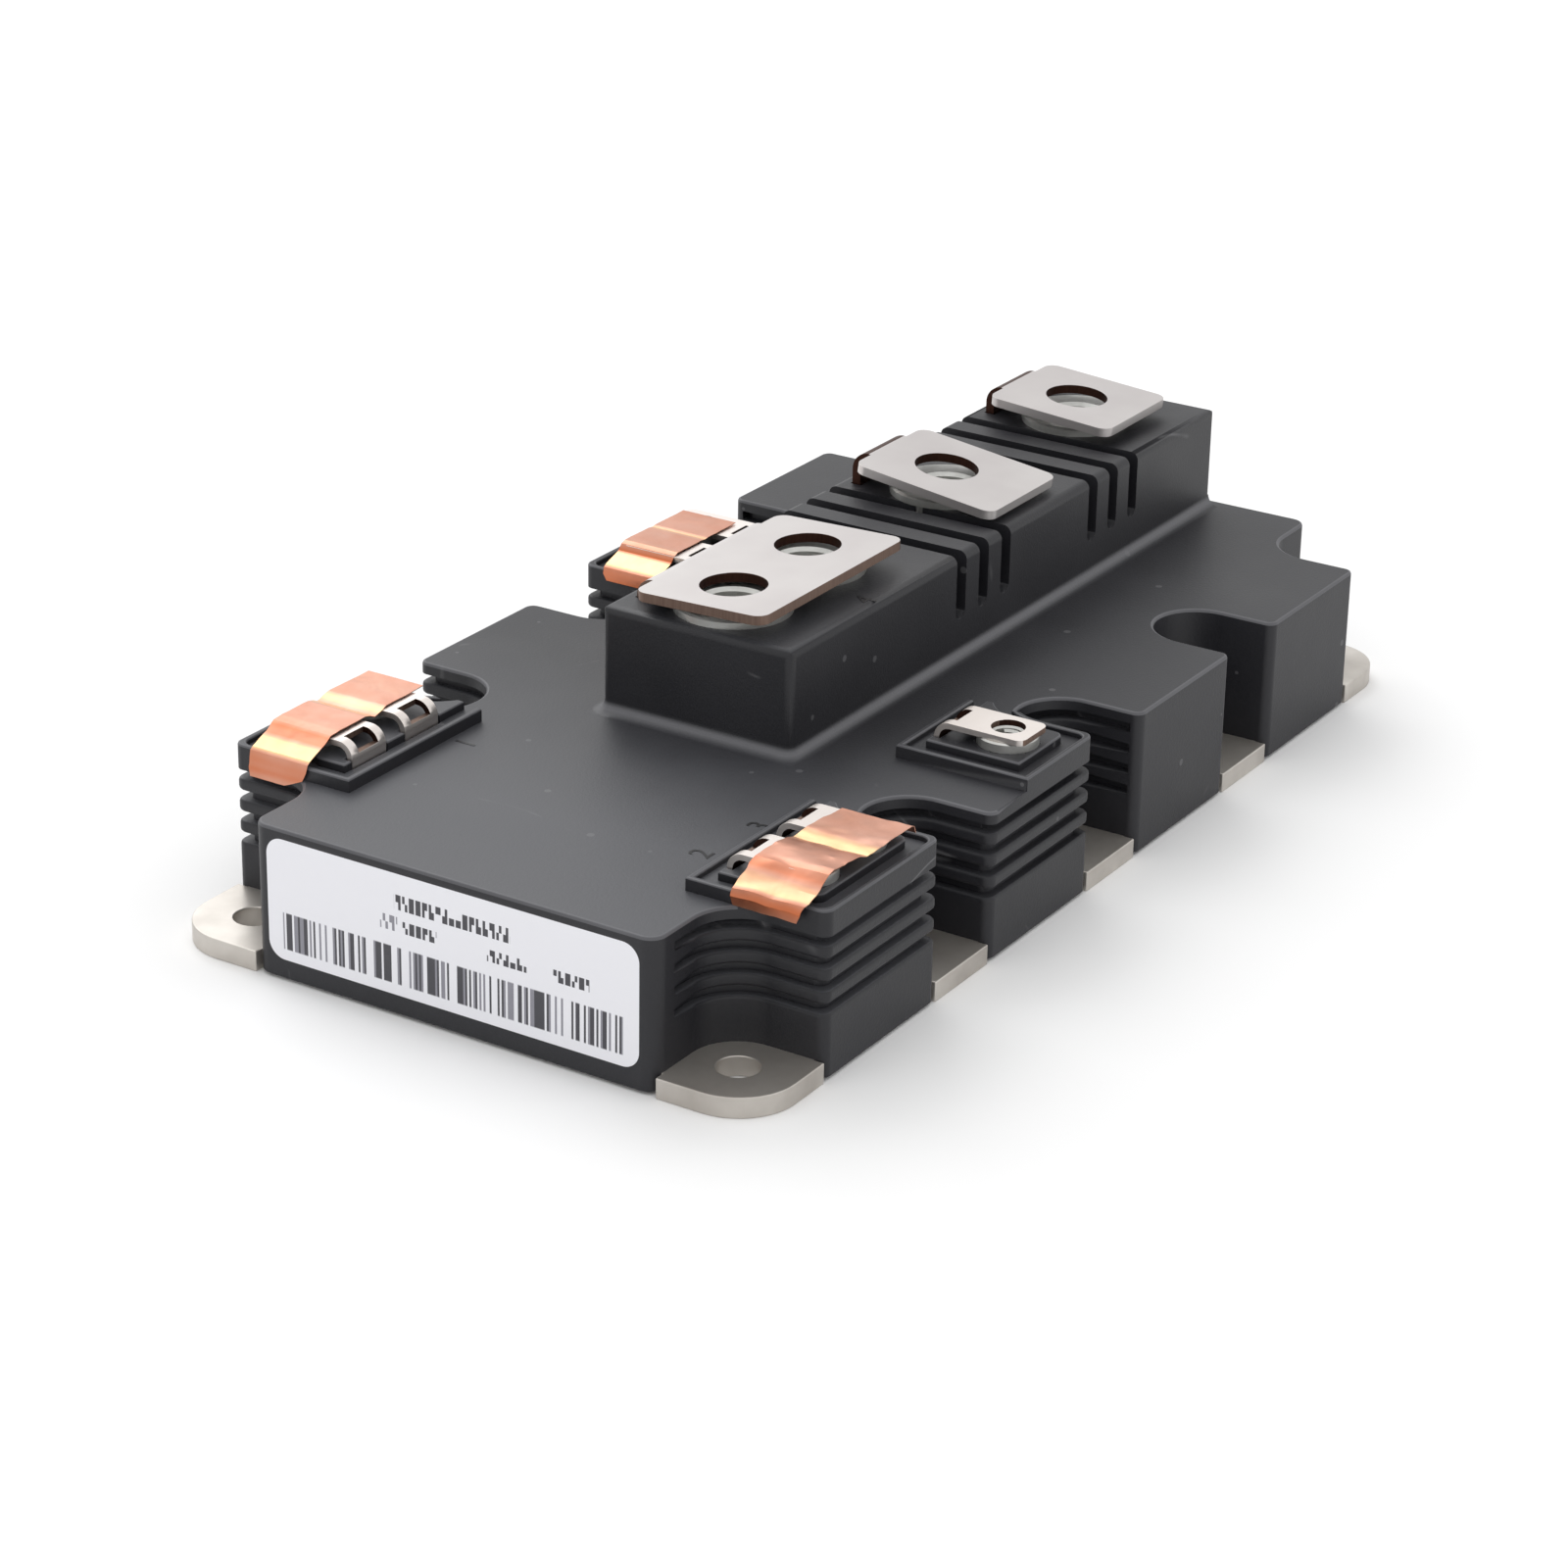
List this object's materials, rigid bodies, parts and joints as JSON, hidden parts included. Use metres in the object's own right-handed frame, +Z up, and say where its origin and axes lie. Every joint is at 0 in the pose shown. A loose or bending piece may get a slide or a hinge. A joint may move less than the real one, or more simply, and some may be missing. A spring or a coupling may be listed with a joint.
{
  "type": "power transistor module",
  "caption": "Flat power transistor module with a screwed metal base plate, a ribbed black housing, a raised block of screw terminals and small control terminals under foil.",
  "frame": {"origin": "centre of the base plate's underside", "axes": "+X along the length from the labelled end to the far end, +Z up out of the cooling face"},
  "size_m": [0.172, 0.089, 0.0403],
  "materials": {
    "base_nickel": "nickel-plated copper, satin to bright",
    "housing": "glass-filled moulding, fine matte grain",
    "terminal_nickel": "nickel-plated copper sheet with bare sheared edges",
    "nut_steel": "plated steel, turned faces",
    "foil_copper": "thin copper foil, bright and creased",
    "label_white": "printed film, satin",
    "ceramic_white": "fired ceramic, matte",
    "copper": "bare rolled copper",
    "silicon": "metallised chip top",
    "wire_aluminium": "drawn aluminium wire",
    "thermistor_body": "glazed chip",
    "gel": "soft clear silicone gel"
  },
  "bodies": {
    "root": {"base_plate": "base_nickel", "housing_frame": "housing", "housing_lid": "housing", "output_terminal": "terminal_nickel", "positive_terminal": "terminal_nickel", "negative_terminal": "terminal_nickel", "main_nuts": "nut_steel", "control_terminal_1": "terminal_nickel", "control_terminal_2": "terminal_nickel", "control_terminal_3": "terminal_nickel", "control_terminal_4": "terminal_nickel", "control_terminal_5": "terminal_nickel", "control_terminal_6": "terminal_nickel", "control_terminal_7": "terminal_nickel", "control_nuts": "nut_steel", "shorting_foil_1": "foil_copper", "shorting_foil_2": "foil_copper", "shorting_foil_3": "foil_copper", "label": "label_white", "ceramic_1": "ceramic_white", "ceramic_2": "ceramic_white", "ceramic_3": "ceramic_white", "ceramic_4": "ceramic_white", "backing_1": "copper", "backing_2": "copper", "backing_3": "copper", "backing_4": "copper", "tracks_1": "copper", "tracks_2": "copper", "tracks_3": "copper", "tracks_4": "copper", "transistors_1": "silicon", "transistors_2": "silicon", "transistors_3": "silicon", "transistors_4": "silicon", "diodes_1": "silicon", "diodes_2": "silicon", "diodes_3": "silicon", "diodes_4": "silicon", "bond_wires_1": "wire_aluminium", "bond_wires_2": "wire_aluminium", "bond_wires_3": "wire_aluminium", "bond_wires_4": "wire_aluminium", "track_links": "copper", "thermistor": "thermistor_body", "silicone_gel": "gel"}
  },
  "joints": []
}
